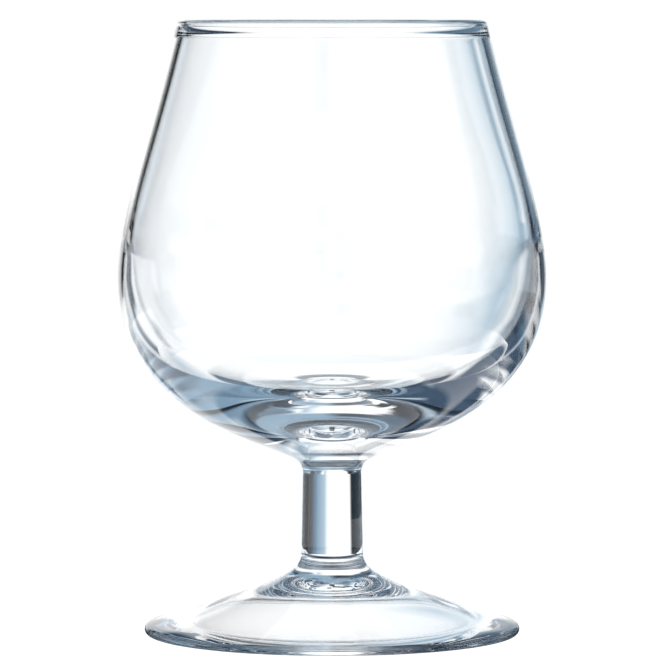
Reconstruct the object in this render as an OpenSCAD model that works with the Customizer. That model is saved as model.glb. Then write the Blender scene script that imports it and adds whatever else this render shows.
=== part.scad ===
// Stemmed brandy glass in clear glass. A wide bowl closes in towards a beaded rim,
// and a short solid stem carries it on a flared foot. The three pieces are welded
// face to face on one axis. Sizes are in millimetres, and the origin is the middle
// of the standing ring, with +Z up towards the rim.

/* [Bowl] */
// Height of the bowl from its weld on the stem to the top of the rim
bowl_h = 85.4; // [80:0.2:92]
// Outside width of the rim
rim_d = 58.5; // [54:0.1:64]
// Outside width of the belly, the widest ring of the glass
belly_d = 80.8; // [77:0.1:87]
// Height of the belly above the weld
belly_rise = 36.9; // [34:0.1:41]
// Lean of the side just under the rim, in degrees from upright
rim_lean = 13.8; // [11:0.2:17]
// Wall under the rim
rim_wall = 1.6; // [1.2:0.1:2]
// Thickness of the round bead that ends the rim
bead_d = 2.2; // [2.2:0.1:3]
// Wall at the belly
belly_wall = 2.4; // [1.8:0.1:3.2]
// Glass between the weld and the lowest point of the inside
floor_glass = 12.5; // [11:0.5:14.5]
// Slope of the underside where it meets the neck, in degrees from level
underside_slope = 26.5; // [20:0.5:30]
// Radius of the neck between the underside and the stem
neck_r = 3; // [2.4:0.2:4.4]

/* [Stem] */
// Length of the stem between its two welds
stem_l = 16; // [10:0.5:40]
// Width of the stem at the bowl
stem_d = 11.1; // [9:0.1:13]
// Width of the stem at the foot
stem_base_d = 11.8; // [9.6:0.1:13.6]

/* [Foot] */
// Height of the weld between stem and foot
foot_h = 14.6; // [12.5:0.1:17]
// Outside width of the foot
foot_d = 71; // [66:0.1:78]
// Thickness of the round edge of the foot
edge_d = 1.9; // [1.6:0.1:2.5]
// Slope of the top of the foot at its edge, in degrees from level
foot_slope = 17.9; // [14:0.1:19]
// Lean of the neck of the foot at the weld, in degrees from upright
foot_lean = 12.8; // [8:0.2:20]
// Width of the flat ring that the glass stands on
ring_w = 1.2; // [1:0.1:3]
// Glass between the weld and the top of the hollow under the foot
foot_glass = 5.8; // [5:0.1:7]
// Slope of the hollow where it leaves the ring, in degrees from level
hollow_slope = 8.5; // [6:0.5:11]

/* [Hidden] */
// Steps in each long curve and in each small round
curve_steps = 14;
round_steps = 6;
$fn = 96;

// Radii and heights that several pieces share
rim_r = rim_d / 2;
bead_r = bead_d / 2;
belly_r = belly_d / 2;
stem_r = stem_d / 2;
stem_base_r = stem_base_d / 2;
foot_r = foot_d / 2;
edge_r = edge_d / 2;
bowl_z = foot_h + stem_l;
rim_z = bowl_z + bowl_h;
belly_z = bowl_z + belly_rise;
floor_z = bowl_z + floor_glass;

// Shares of a curve's own height or reach at which its handles lie
side_leave_share = 0.47;
side_arrive_share = 0.23;
under_leave_share = 0.74;
under_arrive_share = 0.235;
inside_belly_share = 0.046;
inside_leave_share = 0.47;
inside_arrive_share = 0.25;
floor_leave_share = 0.72;
floor_arrive_share = 0.645;
bead_blend_share = 1.2;
blend_handle_share = 0.5;
foot_leave_share = 0.28;
foot_arrive_share = 0.83;
hollow_leave_share = 0.35;
hollow_arrive_share = 0.53;

// Unit vectors: down a wall that leans by an angle, and square to it, outwards
function down_wall(lean) = [sin(lean), -cos(lean)];
function off_wall(lean) = [cos(lean), sin(lean)];

// A cubic curve between two points with its two handles
function curve(from, leave, arrive, to) = [
    for (i = [0:curve_steps])
        let (t = i / curve_steps, s = 1 - t)
        s * s * s * from + 3 * s * s * t * leave + 3 * s * t * t * arrive + t * t * t * to
];

// A round about a centre between two angles
function round_edge(centre, r, from, to) = [
    for (i = [0:round_steps])
        let (a = from + (to - from) * i / round_steps)
        centre + r * [cos(a), sin(a)]
];

// A chain without its first point, to follow on from another
function after_first(points) = [for (i = [1:len(points) - 1]) points[i]];

// Outside of the bowl, from the rim bead down to the weld
bead_centre = [rim_r - bead_r, rim_z - bead_r];
side_top = bead_centre + bead_r * off_wall(rim_lean);
side_fall = side_top.y - belly_z;
belly = [belly_r, belly_z];
side = curve(
    side_top,
    side_top + side_leave_share * side_fall / cos(rim_lean) * down_wall(rim_lean),
    belly + [0, side_arrive_share * side_fall],
    belly
);
neck_tangent = neck_r / tan((90 + underside_slope) / 2);
neck_top = [stem_r, bowl_z + neck_tangent] + neck_tangent * [cos(underside_slope), sin(underside_slope)];
under_reach = belly_r - neck_top.x;
underside = curve(
    belly,
    belly - [0, under_leave_share * (belly_z - neck_top.y)],
    neck_top + under_arrive_share * under_reach * [1, tan(underside_slope)],
    neck_top
);
neck = round_edge([stem_r + neck_r, bowl_z], neck_r, 90 + underside_slope, 180);

// Inside of the bowl, from the middle of the floor up to the rim bead
inside_r = belly_r - belly_wall;
inside_belly = [inside_r, belly_z + inside_belly_share * bowl_h];
inside_floor = [0, floor_z];
floor_curve = curve(
    inside_floor,
    inside_floor + [floor_arrive_share * inside_r, 0],
    inside_belly - [0, floor_leave_share * (inside_belly.y - floor_z)],
    inside_belly
);
blend_l = bead_blend_share * bead_d;
bead_inner = bead_centre - bead_r * off_wall(rim_lean);
inside_top = bead_centre + (bead_r - rim_wall) * off_wall(rim_lean) + blend_l * down_wall(rim_lean);
inside_rise = inside_top.y - inside_belly.y;
inside_side = curve(
    inside_belly,
    inside_belly + [0, inside_arrive_share * inside_rise],
    inside_top + inside_leave_share * inside_rise / cos(rim_lean) * down_wall(rim_lean),
    inside_top
);
bead_blend = curve(
    inside_top,
    inside_top - blend_handle_share * blend_l * down_wall(rim_lean),
    bead_inner + blend_handle_share * blend_l * down_wall(rim_lean),
    bead_inner
);
bead = concat(
    round_edge(bead_centre, bead_r, 180 + rim_lean, 90),
    after_first(round_edge(bead_centre, bead_r, 90, rim_lean))
);

// The bowl: rim bead, side that thickens downwards, heavy base and short neck
module bowl() {
    outline = concat(
        [[0, bowl_z]],
        floor_curve,
        after_first(inside_side),
        after_first(bead_blend),
        after_first(bead),
        after_first(side),
        after_first(underside),
        after_first(neck)
    );
    color([0.82, 0.88, 0.92, 0.35])
        rotate_extrude()
            polygon(outline);
}

// The stem: a solid rod, a little wider at the foot
module stem() {
    color([0.82, 0.88, 0.92, 0.35])
        translate([0, 0, foot_h])
            cylinder(h = stem_l, r1 = stem_base_r, r2 = stem_r);
}

// The foot: a neck that flares into a low cone, a round edge and a hollow below. The hollow leaves
// the ring almost level and then follows the cone, so that the glass thickens under the stem
edge_centre = [foot_r - edge_r, edge_r];
foot_neck = [stem_base_r, foot_h];
edge_top = edge_centre + edge_r * [sin(foot_slope), cos(foot_slope)];
foot_fall = foot_h - edge_top.y;
foot_reach = edge_top.x - stem_base_r;
foot_top = curve(
    foot_neck,
    foot_neck + foot_leave_share * foot_fall * down_wall(foot_lean),
    edge_top - foot_arrive_share * foot_reach * [1, -tan(foot_slope)],
    edge_top
);
foot_edge = concat(
    round_edge(edge_centre, edge_r, 90 - foot_slope, 0),
    after_first(round_edge(edge_centre, edge_r, 0, -90))
);
hollow_r = edge_centre.x - ring_w;
hollow_edge = [hollow_r, 0];
hollow_top = [0, foot_h - foot_glass];
hollow = curve(
    hollow_edge,
    hollow_edge + hollow_leave_share * hollow_r * [-1, tan(hollow_slope)],
    hollow_top + [hollow_arrive_share * hollow_r, 0],
    hollow_top
);

module foot() {
    outline = concat([[0, foot_h]], foot_top, after_first(foot_edge), hollow);
    color([0.82, 0.88, 0.92, 0.35])
        rotate_extrude()
            polygon(outline);
}

bowl();
stem();
foot();
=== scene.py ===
import math

import bmesh
import bpy
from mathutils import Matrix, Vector


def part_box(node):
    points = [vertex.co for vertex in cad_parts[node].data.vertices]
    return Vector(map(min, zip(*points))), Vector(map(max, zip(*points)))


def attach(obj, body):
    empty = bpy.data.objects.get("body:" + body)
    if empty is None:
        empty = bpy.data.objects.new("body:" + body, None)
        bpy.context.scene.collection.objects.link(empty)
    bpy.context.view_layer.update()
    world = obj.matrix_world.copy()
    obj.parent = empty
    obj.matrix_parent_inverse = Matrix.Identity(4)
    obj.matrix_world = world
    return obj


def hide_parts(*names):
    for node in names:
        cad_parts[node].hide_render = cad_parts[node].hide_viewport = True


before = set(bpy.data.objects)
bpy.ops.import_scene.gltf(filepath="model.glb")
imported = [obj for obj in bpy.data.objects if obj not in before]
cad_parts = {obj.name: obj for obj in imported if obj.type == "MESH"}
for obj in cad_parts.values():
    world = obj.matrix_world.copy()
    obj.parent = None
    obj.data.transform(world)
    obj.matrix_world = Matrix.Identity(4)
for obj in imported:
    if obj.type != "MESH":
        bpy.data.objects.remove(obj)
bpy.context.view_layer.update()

# The bowl is press-blown clear glass. Its rim is melted into a round bead, its wall thickens
# all the way down into a heavy base, and its short neck is welded to the stem while hot, so the
# skin of glass is left open where it runs on into the stem.
mm = 0.001
bowl_low, bowl_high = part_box("bowl")
rim_r = 29.25 * mm
rim_lean = math.radians(13.8)
rim_wall = 1.6 * mm
bead_r = 1.1 * mm
belly_z = bowl_low.z + 36.9 * mm
belly_wall = 2.4 * mm
floor_glass = 12.5 * mm
underside_slope = math.radians(26.5)
neck_r = 3 * mm
stem_top_r = 5.55 * mm

# Shares of the bowl's sizes, and of each curve's own height or reach, at which its handles lie
inside_belly_share = 0.046
floor_level_share = 0.645
floor_upright_share = 0.72
inside_upright_share = 0.25
inside_lean_share = 0.47
blend_bead_share = 2.4
blend_handle_share = 0.5
side_lean_share = 0.47
side_upright_share = 0.23
under_upright_share = 0.74
under_slope_share = 0.235

# Points round each ring of the skin, and rings along each stretch of the outline
turns = 192
long_steps = 56
side_steps = 40
blend_steps = 12
bead_inside_steps = 10
bead_outside_steps = 8
neck_steps = 14
same_place = 0.001 * mm


# A point of an outline, by its distance from the axis and its height
def point(r, z):
    return Vector((r, 0, z))


# A cubic curve between two points with its two handles
def curve(start, leave, arrive, end, steps):
    chain = []
    for i in range(steps + 1):
        t = i / steps
        s = 1 - t
        chain.append(s**3 * start + 3 * s * s * t * leave + 3 * s * t * t * arrive + t**3 * end)
    return chain


# A round about a centre between two angles in degrees
def rounded(centre, r, first, last, steps):
    chain = []
    for i in range(steps + 1):
        a = math.radians(first + (last - first) * i / steps)
        chain.append(centre + r * point(math.cos(a), math.sin(a)))
    return chain


# Turns an outline about the axis, and joins its rings with faces
def turned(name, outline):
    skin = bmesh.new()
    rings = []
    for p in outline:
        if rings and (p - rings[-1][0].co).length < same_place:
            continue
        if p.x < same_place:
            rings.append([skin.verts.new((0, 0, p.z))])
            continue
        ring = []
        for i in range(turns):
            a = 2 * math.pi * i / turns
            ring.append(skin.verts.new((p.x * math.cos(a), p.x * math.sin(a), p.z)))
        rings.append(ring)
    for above, below in zip(rings, rings[1:]):
        for i in range(turns):
            j = (i + 1) % turns
            if len(above) == 1:
                skin.faces.new((above[0], below[i], below[j]))
            elif len(below) == 1:
                skin.faces.new((above[i], below[0], above[j]))
            else:
                skin.faces.new((above[i], below[i], below[j], above[j]))
    for face in skin.faces:
        face.smooth = True
    mesh = bpy.data.meshes.new(name)
    skin.to_mesh(mesh)
    skin.free()
    piece = bpy.data.objects.new(name, mesh)
    bpy.context.scene.collection.objects.link(piece)
    return piece


down_wall = point(math.sin(rim_lean), -math.cos(rim_lean))
off_wall = point(math.cos(rim_lean), math.sin(rim_lean))
up_slope = point(math.cos(underside_slope), math.sin(underside_slope))

bead_centre = point(rim_r - bead_r, bowl_high.z - bead_r)
bead_inside = bead_centre - bead_r * off_wall
side_top = bead_centre + bead_r * off_wall
belly = point(bowl_high.x, belly_z)
side_fall = side_top.z - belly_z
neck_run = neck_r / math.tan((math.pi / 2 + underside_slope) / 2)
neck_top = point(stem_top_r, bowl_low.z + neck_run) + neck_run * up_slope
under_reach = (belly.x - neck_top.x) / math.cos(underside_slope)

inside_floor = point(0, bowl_low.z + floor_glass)
inside_belly = point(
    belly.x - belly_wall,
    belly_z + inside_belly_share * (bowl_high.z - bowl_low.z),
)
blend_run = blend_bead_share * bead_r
inside_top = bead_centre + (bead_r - rim_wall) * off_wall + blend_run * down_wall
inside_rise = inside_top.z - inside_belly.z

# From the middle of the floor up the inside, over the bead, and down the outside to the weld
bowl_outline = curve(
    inside_floor,
    inside_floor + point(floor_level_share * inside_belly.x, 0),
    inside_belly - point(0, floor_upright_share * (inside_belly.z - inside_floor.z)),
    inside_belly,
    long_steps,
)
bowl_outline += curve(
    inside_belly,
    inside_belly + point(0, inside_upright_share * inside_rise),
    inside_top + inside_lean_share * inside_rise / math.cos(rim_lean) * down_wall,
    inside_top,
    side_steps,
)
bowl_outline += curve(
    inside_top,
    inside_top - blend_handle_share * blend_run * down_wall,
    bead_inside + blend_handle_share * blend_run * down_wall,
    bead_inside,
    blend_steps,
)
lean = math.degrees(rim_lean)
bowl_outline += rounded(bead_centre, bead_r, 180 + lean, 90, bead_inside_steps)
bowl_outline += rounded(bead_centre, bead_r, 90, lean, bead_outside_steps)
bowl_outline += curve(
    side_top,
    side_top + side_lean_share * side_fall / math.cos(rim_lean) * down_wall,
    belly + point(0, side_upright_share * side_fall),
    belly,
    side_steps,
)
bowl_outline += curve(
    belly,
    belly - point(0, under_upright_share * (belly_z - neck_top.z)),
    neck_top + under_slope_share * under_reach * up_slope,
    neck_top,
    long_steps,
)
slope = math.degrees(underside_slope)
neck_centre = point(stem_top_r + neck_r, bowl_low.z)
bowl_outline += rounded(neck_centre, neck_r, 90 + slope, 180, neck_steps)
bowl = turned("bowl_skin", bowl_outline)


# An sRGB hex colour as linear red, green, blue and alpha
def linear(hex_colour):
    parts = [int(hex_colour[i : i + 2], 16) / 255 for i in (1, 3, 5)]
    return [c / 12.92 if c <= 0.04045 else ((c + 0.055) / 1.055) ** 2.4 for c in parts] + [1]


# Adds a node with its settings, its sockets' values, its links and, on a ramp, its colour stops
def add(tree, kind, links=(), values=(), stops=(), **settings):
    node = tree.nodes.new(kind)
    for key, value in settings.items():
        setattr(node, key, value)
    for socket, value in values:
        node.inputs[socket].default_value = value
    for socket, source in links:
        tree.links.new(source, node.inputs[socket])
    if stops:
        marks = node.color_ramp.elements
        while len(marks) < len(stops):
            marks.new(0.5)
        for mark, (place, colour) in zip(marks, stops):
            mark.position = place
            mark.color = linear(colour)
    return node


# Soda-lime glass, fire-polished: clear and quite smooth. Each piece adds its own ripples to it.
def soda_lime_glass(name):
    glass = bpy.data.materials.new(name)
    glass.use_nodes = True
    shader = glass.node_tree.nodes["Principled BSDF"]
    shader.inputs["Transmission Weight"].default_value = 1
    shader.inputs["IOR"].default_value = 1.52
    shader.inputs["Roughness"].default_value = 0
    return glass, shader


# Soda-lime glass, blown and fire-polished: clear, with a breath of blue. The mould and the flame
# leave slow ripples about 14 mm apart, which bend what is seen through them. The crest of the rim
# has painted shade: its colour is greyed to stand in for the fine dark line that bent light draws
# along it.
blown_ripple = 14 * mm
blown_depth = 0.025 * mm
glass_tint = ((0.3, "#FAFCFD"), (0.7, "#FDFEFE"))
# Painted shade: the glass colour is mixed towards grey at the crest of the rim, for the dark line
# along it
painted_rim_shade_colour = "#7C8993"
painted_rim_shade_low = bowl_high.z - 0.9 * mm
painted_rim_shade_full = bowl_high.z - 0.5 * mm
mix_share, mix_first, mix_second, mix_result = 0, 6, 7, 2
blown_glass, shader = soda_lime_glass("blown_soda_lime_glass")
tree = blown_glass.node_tree
place = add(tree, "ShaderNodeTexCoord")
ripple = add(
    tree,
    "ShaderNodeTexNoise",
    links=[("Vector", place.outputs["Object"])],
    values=[("Scale", 1 / blown_ripple), ("Detail", 1), ("Roughness", 0.4)],
)
tint = add(tree, "ShaderNodeValToRGB", links=[("Fac", ripple.outputs["Fac"])], stops=glass_tint)
height = add(tree, "ShaderNodeSeparateXYZ", links=[("Vector", place.outputs["Object"])])
rim_shade_mask = add(
    tree,
    "ShaderNodeMapRange",
    links=[("Value", height.outputs["Z"])],
    values=[("From Min", painted_rim_shade_low), ("From Max", painted_rim_shade_full)],
)
colour = add(
    tree,
    "ShaderNodeMix",
    links=[(mix_share, rim_shade_mask.outputs["Result"]), (mix_first, tint.outputs["Color"])],
    values=[(mix_second, linear(painted_rim_shade_colour))],
    data_type="RGBA",
)
tree.links.new(colour.outputs[mix_result], shader.inputs["Base Color"])
wave = add(
    tree,
    "ShaderNodeBump",
    links=[("Height", ripple.outputs["Fac"])],
    values=[("Strength", 0.2), ("Distance", blown_depth)],
)
tree.links.new(wave.outputs["Normal"], shader.inputs["Normal"])
bowl.data.materials.append(blown_glass)
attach(bowl, "root")
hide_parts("bowl")

# The stem is a short solid rod of the same glass, drawn from the gather under the bowl. It widens
# a little towards the foot, and both of its ends run on into the neighbours through the welds.
stem_low, stem_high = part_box("stem")
stem_foot_r = stem_high.x
stem_steps = 24
stem_outline = []
for i in range(stem_steps + 1):
    share = i / stem_steps
    r = stem_top_r + share * (stem_foot_r - stem_top_r)
    stem_outline.append(point(r, stem_high.z + share * (stem_low.z - stem_high.z)))
stem = turned("stem_skin", stem_outline)

# Soda-lime glass, drawn and fire-polished: clear, with faint lengthwise draw lines about 2 mm
# apart, which show as soft streaks in the dark edges of the rod.
draw_line = 2 * mm
draw_depth = 0.01 * mm
draw_stretch = (1, 1, 0.08)
drawn_glass, shader = soda_lime_glass("drawn_soda_lime_glass")
tree = drawn_glass.node_tree
place = add(tree, "ShaderNodeTexCoord")
along = add(
    tree,
    "ShaderNodeMapping",
    links=[("Vector", place.outputs["Object"])],
    values=[("Scale", draw_stretch)],
)
streak = add(
    tree,
    "ShaderNodeTexNoise",
    links=[("Vector", along.outputs["Vector"])],
    values=[("Scale", 1 / draw_line), ("Detail", 1)],
)
tint = add(tree, "ShaderNodeValToRGB", links=[("Fac", streak.outputs["Fac"])], stops=glass_tint)
tree.links.new(tint.outputs["Color"], shader.inputs["Base Color"])
wave = add(
    tree,
    "ShaderNodeBump",
    links=[("Height", streak.outputs["Fac"])],
    values=[("Strength", 0.1), ("Distance", draw_depth)],
)
tree.links.new(wave.outputs["Normal"], shader.inputs["Normal"])
stem.data.materials.append(drawn_glass)
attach(stem, "root")
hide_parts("stem")

# The foot is pressed glass: a neck that flares into a low cone with a round edge. The hollow below
# leaves the narrow standing ring almost level and then follows the cone up towards the stem.
foot_low, foot_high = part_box("foot")
foot_slope = math.radians(17.9)
foot_lean = math.radians(12.8)
foot_glass = 5.8 * mm
edge_r = 0.95 * mm
ring_w = 1.2 * mm
ring_corner = 0.2 * mm
hollow_slope = math.radians(8.5)
foot_lean_share = 0.28
foot_slope_share = 0.83
hollow_slope_share = 0.35
hollow_level_share = 0.53
edge_steps = 14

down_neck = point(math.sin(foot_lean), -math.cos(foot_lean))
up_cone = point(-1, math.tan(foot_slope))
up_hollow = point(-1, math.tan(hollow_slope))
foot_neck = point(stem_foot_r, foot_high.z)
edge_centre = point(foot_high.x - edge_r, foot_low.z + edge_r)
edge_top = edge_centre + edge_r * point(math.sin(foot_slope), math.cos(foot_slope))
foot_reach = edge_top.x - foot_neck.x
hollow_edge = point(edge_centre.x - ring_w, foot_low.z)
hollow_top = point(0, foot_high.z - foot_glass)

# From the weld down the cone, round the edge, across the ring, and up the hollow to the middle
foot_outline = curve(
    foot_neck,
    foot_neck + foot_lean_share * (foot_neck.z - edge_top.z) * down_neck,
    edge_top + foot_slope_share * foot_reach * up_cone,
    edge_top,
    long_steps,
)
foot_outline += rounded(edge_centre, edge_r, 90 - math.degrees(foot_slope), -90, edge_steps)
foot_outline.append(hollow_edge + point(ring_corner, 0))
foot_outline.append(hollow_edge)
foot_outline.append(hollow_edge + ring_corner * up_hollow)
hollow = curve(
    hollow_edge,
    hollow_edge + hollow_slope_share * hollow_edge.x * up_hollow,
    hollow_top + point(hollow_level_share * hollow_edge.x, 0),
    hollow_top,
    long_steps,
)
foot_outline += hollow[1:]
foot = turned("foot_skin", foot_outline)

# Soda-lime glass, pressed and fire-polished: clear, with ripples about 6 mm apart from the mould,
# and a fine scuff on the standing ring, where it has been slid over tables.
pressed_ripple = 6 * mm
pressed_depth = 0.02 * mm
scuff_roughness = 0.02
scuff_full = 0.02 * mm
scuff_end = 0.06 * mm
pressed_glass, shader = soda_lime_glass("pressed_soda_lime_glass")
tree = pressed_glass.node_tree
place = add(tree, "ShaderNodeTexCoord")
ripple = add(
    tree,
    "ShaderNodeTexNoise",
    links=[("Vector", place.outputs["Object"])],
    values=[("Scale", 1 / pressed_ripple), ("Detail", 1)],
)
tint = add(tree, "ShaderNodeValToRGB", links=[("Fac", ripple.outputs["Fac"])], stops=glass_tint)
tree.links.new(tint.outputs["Color"], shader.inputs["Base Color"])
height = add(tree, "ShaderNodeSeparateXYZ", links=[("Vector", place.outputs["Object"])])
scuff = add(
    tree,
    "ShaderNodeMapRange",
    links=[("Value", height.outputs["Z"])],
    values=[
        ("From Min", scuff_full),
        ("From Max", scuff_end),
        ("To Min", scuff_roughness),
        ("To Max", 0),
    ],
)
tree.links.new(scuff.outputs["Result"], shader.inputs["Roughness"])
wave = add(
    tree,
    "ShaderNodeBump",
    links=[("Height", ripple.outputs["Fac"])],
    values=[("Strength", 0.2), ("Distance", pressed_depth)],
)
tree.links.new(wave.outputs["Normal"], shader.inputs["Normal"])
foot.data.materials.append(pressed_glass)
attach(foot, "root")
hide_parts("foot")

# The table is a plain round white board, a hair under the standing ring. The camera and the glass
# see it as white, and it still takes the glass's soft shadow.
board_r = 110 * mm
board_z = -0.02 * mm
board_sides = 128
board_mesh = bpy.data.meshes.new("table_board")
board = bmesh.new()
bmesh.ops.create_circle(board, cap_ends=True, segments=board_sides, radius=board_r)
board.to_mesh(board_mesh)
board.free()
table = bpy.data.objects.new("table_board", board_mesh)
table.location.z = board_z
bpy.context.scene.collection.objects.link(table)

# White painted board: matt and pale, with no pattern. Most of what is seen of it is an even white,
# and the rest is the paint itself, which shows the shadow.
white_share = 0.75
white_strength = 1.35
white_paint = bpy.data.materials.new("white_painted_board")
white_paint.use_nodes = True
tree = white_paint.node_tree
paint = tree.nodes["Principled BSDF"]
paint.inputs["Base Color"].default_value = linear("#F4F5F6")
paint.inputs["Roughness"].default_value = 0.7
glow = add(tree, "ShaderNodeEmission", values=[("Strength", white_strength)])
path = add(tree, "ShaderNodeLightPath")
bent = add(
    tree,
    "ShaderNodeMath",
    links=[(0, path.outputs["Is Transmission Ray"]), (1, path.outputs["Is Glossy Ray"])],
    operation="MAXIMUM",
)
seen = add(
    tree,
    "ShaderNodeMath",
    links=[(0, path.outputs["Is Camera Ray"]), (1, bent.outputs[0])],
    operation="MAXIMUM",
)
whitened = add(
    tree,
    "ShaderNodeMath",
    links=[(0, seen.outputs[0])],
    values=[(1, white_share)],
    operation="MULTIPLY",
)
both = add(
    tree,
    "ShaderNodeMixShader",
    links=[(0, whitened.outputs[0]), (1, paint.outputs[0]), (2, glow.outputs[0])],
)
tree.links.new(both.outputs[0], tree.nodes["Material Output"].inputs["Surface"])
board_mesh.materials.append(white_paint)

# The studio is an even soft light on everything matt. What the glass itself shows is a white paper
# behind it, dark flags at both sides that draw its edges, a slate curtain to the left and a pale
# blue wall to the right, a little stronger, so that white stays white through two walls of glass.
white = "#FFFFFF"
faint = "#D2DEE6"
pale = "#BCCBD6"
haze = "#AFC4D2"
mist = "#A9BECD"
sky = "#A4BBCB"
blue = "#829DB2"
lead = "#6A7C8A"
steel = "#657C90"
pewter = "#5E7080"
slate = "#3D4F64"
navy = "#242E39"
flag = "#16191C"
studio_strength = 1.2

# Each band takes over from the one below it between two heights in degrees, and has its colours
# at bearings in degrees, to the right of straight ahead. Under the lowest band all is white.
bands = (
    (-40, -34, (
        (-180, white), (-80, white), (-76, slate), (-60, slate), (-56, white), (-27, white),
        (-22, slate), (-18, slate), (-14.5, white), (2, white), (8, pale), (12, white),
        (14, pale), (17, slate), (27, slate), (29, navy), (34, navy), (37, slate), (48, slate),
        (58, pale), (96, white), (158, white), (162, slate), (176, slate), (180, white),
    )),
    (-20, -17, (
        (-180, white), (-88, white), (-82, slate), (-66, slate), (-62, white), (-33, white),
        (-30, slate), (-28, flag), (-22, flag), (-18, white), (3, white), (9, haze), (14, white),
        (17, pale), (19, navy), (36, navy), (40, slate), (66, slate), (72, steel), (80, blue),
        (90, white), (94, white), (96, slate), (108, slate), (112, white), (158, white),
        (162, slate), (176, slate), (180, white),
    )),
    (-11.8, -11, (
        (-180, pale), (-176, flag), (-128, flag), (-120, white), (-87, white), (-81, slate),
        (-34, slate), (-30, flag), (-22, flag), (-18, white), (4, white), (8, faint), (10, mist),
        (20, slate), (26, flag), (72, flag), (76, blue), (84, blue), (92, white), (180, white),
    )),
    (-9.8, -9, (
        (-180, pale), (-176, flag), (-128, flag), (-120, white), (-87, white), (-81, slate),
        (-76, flag), (-30, flag), (-26, white), (4, white), (8, faint), (10, mist), (20, blue),
        (29, slate), (35, flag), (72, flag), (76, blue), (84, blue), (92, white), (180, white),
    )),
    (-5.7, -5, (
        (-180, white), (-174, flag), (-140, flag), (-134, slate), (-114, slate), (-106, white),
        (-79, white), (-74, slate), (-35, slate), (-33, flag), (-25, flag), (-21, white),
        (4, white), (8, faint), (10, sky), (12.5, white), (15, pale), (18, lead), (26, lead),
        (28, navy), (36, navy), (40, pale), (46, blue), (120, blue), (150, white), (180, white),
    )),
    (0.5, 5, (
        (-180, navy), (-174, navy), (-170, white), (-142, white), (-132, blue), (-120, slate),
        (-46, slate), (-43, pale), (-40, pale), (-36, flag), (-24, flag), (-19, white), (4, white),
        (8, faint), (10, sky), (12.5, white), (15, pewter), (28, pewter), (30, navy), (34, navy),
        (38, blue), (60, blue), (75, slate), (110, slate), (150, pale), (170, white),
        (174, navy), (180, navy),
    )),
    (9, 15, (
        (-180, navy), (-172, navy), (-168, white), (-142, white), (-132, blue), (-120, slate),
        (-20, slate), (-15, white), (4, white), (12, pale), (20, blue), (36, blue), (44, steel),
        (110, steel), (150, pale), (168, white), (172, navy), (180, navy),
    )),
    (19, 25, (
        (-180, navy), (-172, navy), (-166, pale), (-130, pale), (-100, slate), (-20, slate),
        (-16, navy), (-4, navy), (4, blue), (40, blue), (60, steel), (110, steel), (150, pale),
        (168, pale), (172, navy), (180, navy),
    )),
    (60, 70, ((-180, blue), (180, blue))),
)
studio = bpy.data.worlds.new("studio")
bpy.context.scene.world = studio
studio.use_nodes = True
tree = studio.node_tree
tree.nodes.clear()
look = add(tree, "ShaderNodeTexCoord")
axes = add(tree, "ShaderNodeSeparateXYZ", links=[("Vector", look.outputs["Generated"])])
turn = add(
    tree,
    "ShaderNodeMath",
    links=[(0, axes.outputs["X"]), (1, axes.outputs["Y"])],
    operation="ARCTAN2",
)
bearing = add(
    tree,
    "ShaderNodeMapRange",
    links=[("Value", turn.outputs[0])],
    values=[("From Min", -math.pi), ("From Max", math.pi)],
)
rise = add(tree, "ShaderNodeMath", links=[(0, axes.outputs["Z"])], operation="ARCSINE")
below = []
for low, high, colours in bands:
    band = add(
        tree,
        "ShaderNodeValToRGB",
        links=[("Fac", bearing.outputs["Result"])],
        stops=[((degrees + 180) / 360, colour) for degrees, colour in colours],
    )
    above = add(
        tree,
        "ShaderNodeMapRange",
        links=[("Value", rise.outputs[0])],
        values=[("From Min", math.radians(low)), ("From Max", math.radians(high))],
        interpolation_type="SMOOTHSTEP",
    )
    shown = add(
        tree,
        "ShaderNodeMix",
        links=[(mix_share, above.outputs["Result"]), (mix_second, band.outputs["Color"])] + below,
        values=[(mix_first, linear(white))],
        data_type="RGBA",
    )
    below = [(mix_first, shown.outputs[mix_result])]
cards = add(
    tree,
    "ShaderNodeBackground",
    links=[("Color", shown.outputs[mix_result])],
    values=[("Strength", studio_strength)],
)
even = add(tree, "ShaderNodeBackground", values=[("Color", linear(white)), ("Strength", 1)])
path = add(tree, "ShaderNodeLightPath")
bent = add(
    tree,
    "ShaderNodeMath",
    links=[(0, path.outputs["Is Transmission Ray"]), (1, path.outputs["Is Glossy Ray"])],
    operation="MAXIMUM",
)
light = add(
    tree,
    "ShaderNodeMixShader",
    links=[(0, bent.outputs[0]), (1, even.outputs[0]), (2, cards.outputs[0])],
)
add(tree, "ShaderNodeOutputWorld", links=[("Surface", light.outputs[0])])
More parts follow.
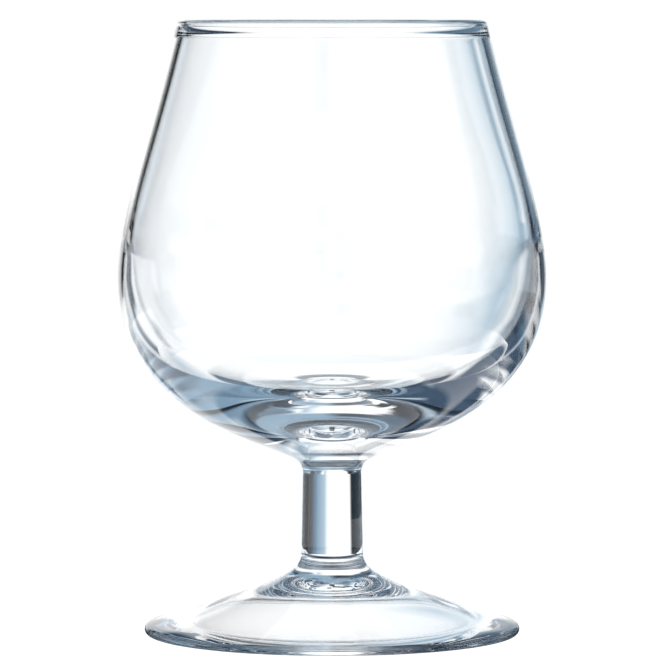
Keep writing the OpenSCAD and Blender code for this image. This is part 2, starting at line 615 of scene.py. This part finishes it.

# Four soft-edged glowing discs of painted shadow lie on the table: a dark ring round the foot, a
# slate disc behind it to the right, and pale discs of painted shade behind it to the left and under
# its right half. Only what the glass bends or mirrors shows them. Each has its middle, and its
# colours by their distance from there, in mm.
painted_shadow_ink = "#243548"
painted_shadow_sides = 96
painted_shadows = (
    ("ring_painted_shadow", 0, 0, -0.012, ((31.5, white), (34, painted_shadow_ink), (49, painted_shadow_ink), (54, white))),
    ("right_painted_shadow", 60, 58, -0.012, ((0, slate), (20, slate), (29, white))),
    ("left_painted_shadow", -58, 52, -0.012, ((0, pale), (26, white))),
    ("foot_painted_shade", 21, 9, -0.008, ((0, faint), (12, white))),
)
for name, x, y, z, colours in painted_shadows:
    inner = colours[0][0]
    outer = colours[-1][0]
    mesh = bpy.data.meshes.new(name)
    sheet = bmesh.new()
    bmesh.ops.create_circle(sheet, cap_ends=True, segments=painted_shadow_sides, radius=outer * mm)
    sheet.to_mesh(mesh)
    sheet.free()
    painted_shadow_material = bpy.data.materials.new(name)
    painted_shadow_material.use_nodes = True
    tree = painted_shadow_material.node_tree
    tree.nodes.clear()
    place = add(tree, "ShaderNodeTexCoord")
    reach = add(
        tree,
        "ShaderNodeVectorMath",
        links=[(0, place.outputs["Object"])],
        operation="LENGTH",
    )
    across = add(
        tree,
        "ShaderNodeMapRange",
        links=[("Value", reach.outputs["Value"])],
        values=[("From Min", inner * mm), ("From Max", outer * mm)],
    )
    shade = add(
        tree,
        "ShaderNodeValToRGB",
        links=[("Fac", across.outputs["Result"])],
        stops=[((r - inner) / (outer - inner), colour) for r, colour in colours],
    )
    # The painted shadow glows at the studio's strength, though it is no lamp
    glow = add(
        tree,
        "ShaderNodeEmission",
        links=[("Color", shade.outputs["Color"])],
        values=[("Strength", studio_strength)],
    )
    add(tree, "ShaderNodeOutputMaterial", links=[("Surface", glow.outputs[0])])
    mesh.materials.append(painted_shadow_material)
    painted_shadow_sheet = bpy.data.objects.new(name, mesh)
    painted_shadow_sheet.location = (x * mm, y * mm, z * mm)
    bpy.context.scene.collection.objects.link(painted_shadow_sheet)
    painted_shadow_sheet.visible_camera = False
    painted_shadow_sheet.visible_diffuse = False
    painted_shadow_sheet.visible_shadow = False

# The camera is a long lens a little under a metre away and level with the rim, which it sees as one
# straight line. It looks down on the foot by about seven degrees.
image_px = 665
focal_px = 4965.2
shift_px = 0.5
camera_away = 936 * mm
camera_pitch = math.radians(3.605)
lens = bpy.data.cameras.new("camera")
lens.sensor_width = 36
lens.lens = focal_px / image_px * lens.sensor_width
lens.shift_x = shift_px / image_px
camera = bpy.data.objects.new("camera", lens)
camera.location = (0, -camera_away, bowl_high.z)
camera.rotation_euler = (math.pi / 2 - camera_pitch, 0, 0)
bpy.context.scene.collection.objects.link(camera)
bpy.context.scene.camera = camera
bpy.context.scene.view_settings.view_transform = "Standard"

# Light runs a long way inside thick glass, so its paths may be long.
bounces = bpy.context.scene.cycles
bounces.max_bounces = 32
bounces.glossy_bounces = 24
bounces.transmission_bounces = 24
